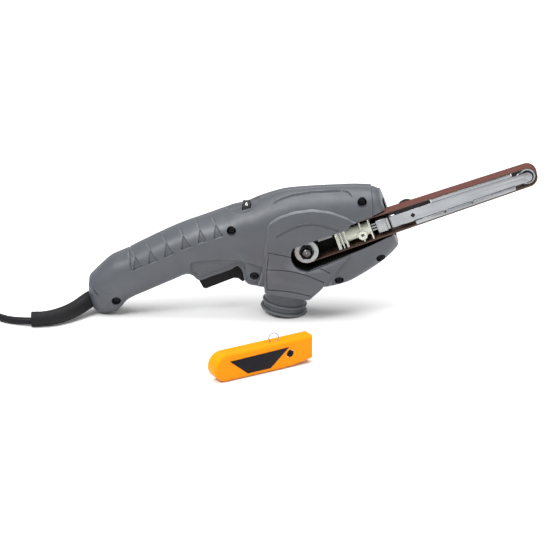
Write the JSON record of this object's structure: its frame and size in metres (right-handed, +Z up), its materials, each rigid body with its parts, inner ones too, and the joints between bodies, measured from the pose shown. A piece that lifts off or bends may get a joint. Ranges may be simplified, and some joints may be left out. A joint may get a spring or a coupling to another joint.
{
  "type": "handheld belt sander",
  "caption": "Corded hand-held belt file with a curved grip, a long narrow sanding arm, a dust port and a removed belt cover standing in front.",
  "frame": {"origin": "bottom centre of the tool's box, cover included and cord left out", "axes": "+X towards the nose of the arm, +Z up, and the belt slot faces -Y"},
  "size_m": [0.6133, 0.2835, 0.1393],
  "materials": {
    "housing": "fine moulded texture, mid grey",
    "black_rubber": "matt black",
    "black_plastic": "satin black",
    "cord": "matt black sheath",
    "steel": "zinc plated sheet steel",
    "bright_steel": "bright turned steel",
    "dark_steel": "black oxide",
    "nylon": "natural nylon",
    "abrasive": "brown aluminium oxide grit on cloth",
    "cover": "orange yellow",
    "label": "plain black panel",
    "copper": "enamelled copper",
    "laminations": "stacked electrical steel",
    "carbon": "carbon",
    "cast": "die cast",
    "brass": "brass",
    "board": "glass fibre board",
    "pulley": "black rubber facing"
  },
  "bodies": {
    "root": {"housing_left": "housing", "housing_right": "housing", "dust_chute": "housing", "dust_port": "housing", "housing_screws": "dark_steel", "cord_sleeve": "black_rubber", "cord_clamp": "black_plastic", "clamp_screws": "bright_steel", "mains_cord": "cord", "cord_coil": "cord", "cord_tie": "black_rubber", "plug_body": "black_plastic", "plug_pins": "bright_steel", "trigger_pin": "bright_steel", "trigger_spring": "bright_steel", "switch_body": "black_plastic", "speed_board": "board", "dial_regulator": "black_plastic", "field_core": "laminations", "field_coils": "copper", "brush_holders": "brass", "carbon_brushes": "carbon", "front_bearing": "bright_steel", "rear_bearing": "bright_steel", "shaft_bearing": "bright_steel", "gearbox_plate": "cast", "sanding_belt": "abrasive", "belt_guard": "steel", "tension_spring": "bright_steel", "spring_post": "steel", "guide_plate": "dark_steel"},
    "armature": {"armature_core": "laminations", "motor_shaft": "bright_steel", "commutator": "copper", "fan": "black_plastic", "pinion": "steel"},
    "drive": {"drive_gear": "steel", "drive_shaft": "bright_steel", "drive_pulley": "pulley", "pulley_washer": "bright_steel", "pulley_nut": "dark_steel", "pulley_screw": "bright_steel"},
    "arm": {"tension_carrier": "nylon", "guide_rods": "bright_steel", "arm_block": "steel", "belt_arm": "steel", "upper_platen": "steel", "lower_platen": "steel", "nose_axle": "bright_steel", "tracking_bracket": "steel"},
    "nose": {"nose_roller": "steel"},
    "steering": {"tracking_knob": "black_plastic"},
    "switch_lever": {"trigger": "black_plastic"},
    "dial": {"speed_dial": "black_plastic"},
    "cover": {"belt_cover": "cover", "cover_ring": "bright_steel", "cover_label": "label"},
    "cover_turn": {"cover_screw": "black_plastic"}
  },
  "joints": [
    {"name": "armature_spin", "type": "hinge", "parent": "root", "child": "armature", "pos_m": [-0.02464, 0.06909, 0.06762], "axis": [-0.9962, 0, 0.0872], "continuous": true},
    {"name": "drive_spin", "type": "hinge", "parent": "root", "child": "drive", "pos_m": [0.02019, 0.05409, 0.0637], "axis": [0, 1, 0], "continuous": true},
    {"name": "arm_retract", "type": "slide", "parent": "root", "child": "arm", "axis": [0.9421, 0, 0.3355], "range_m": [-0.005, 0], "stiffness_N_per_m": 800, "springref_m": 0.012, "deforming": ["tension_spring"]},
    {"name": "nose_spin", "type": "hinge", "parent": "arm", "child": "nose", "pos_m": [0.20804, 0.05409, 0.13059], "axis": [0, 1, 0], "continuous": true},
    {"name": "tracking_turn", "type": "hinge", "parent": "arm", "child": "steering", "pos_m": [0.10706, 0.06909, 0.09251], "axis": [0, 1, 0], "range_deg": [-180, 180]},
    {"name": "trigger_press", "type": "hinge", "parent": "root", "child": "switch_lever", "pos_m": [-0.03561, 0.06909, 0.0455], "axis": [0, 1, 0], "range_deg": [0, 7], "stiffness_Nm_per_rad": 0.35, "springref_deg": -14.32, "deforming": ["trigger_spring"]},
    {"name": "speed_turn", "type": "hinge", "parent": "root", "child": "dial", "pos_m": [-0.03161, 0.06909, 0.0945], "axis": [1, 0, 0], "range_deg": [0, 270]},
    {"name": "cover_lift", "type": "slide", "parent": "root", "child": "cover", "axis": [0, 0, 1], "range_m": [0, 0.06]},
    {"name": "cover_screw_turn", "type": "hinge", "parent": "cover", "child": "cover_turn", "pos_m": [0.005, -0.05786, 0.0125], "axis": [-0.515, 0.8572, 0], "range_deg": [-180, 180]}
  ],
  "couplings": [
    {"joint": "drive_spin", "follows": "armature_spin", "ratio": -0.46154},
    {"joint": "nose_spin", "follows": "armature_spin", "ratio": -0.61538}
  ]
}
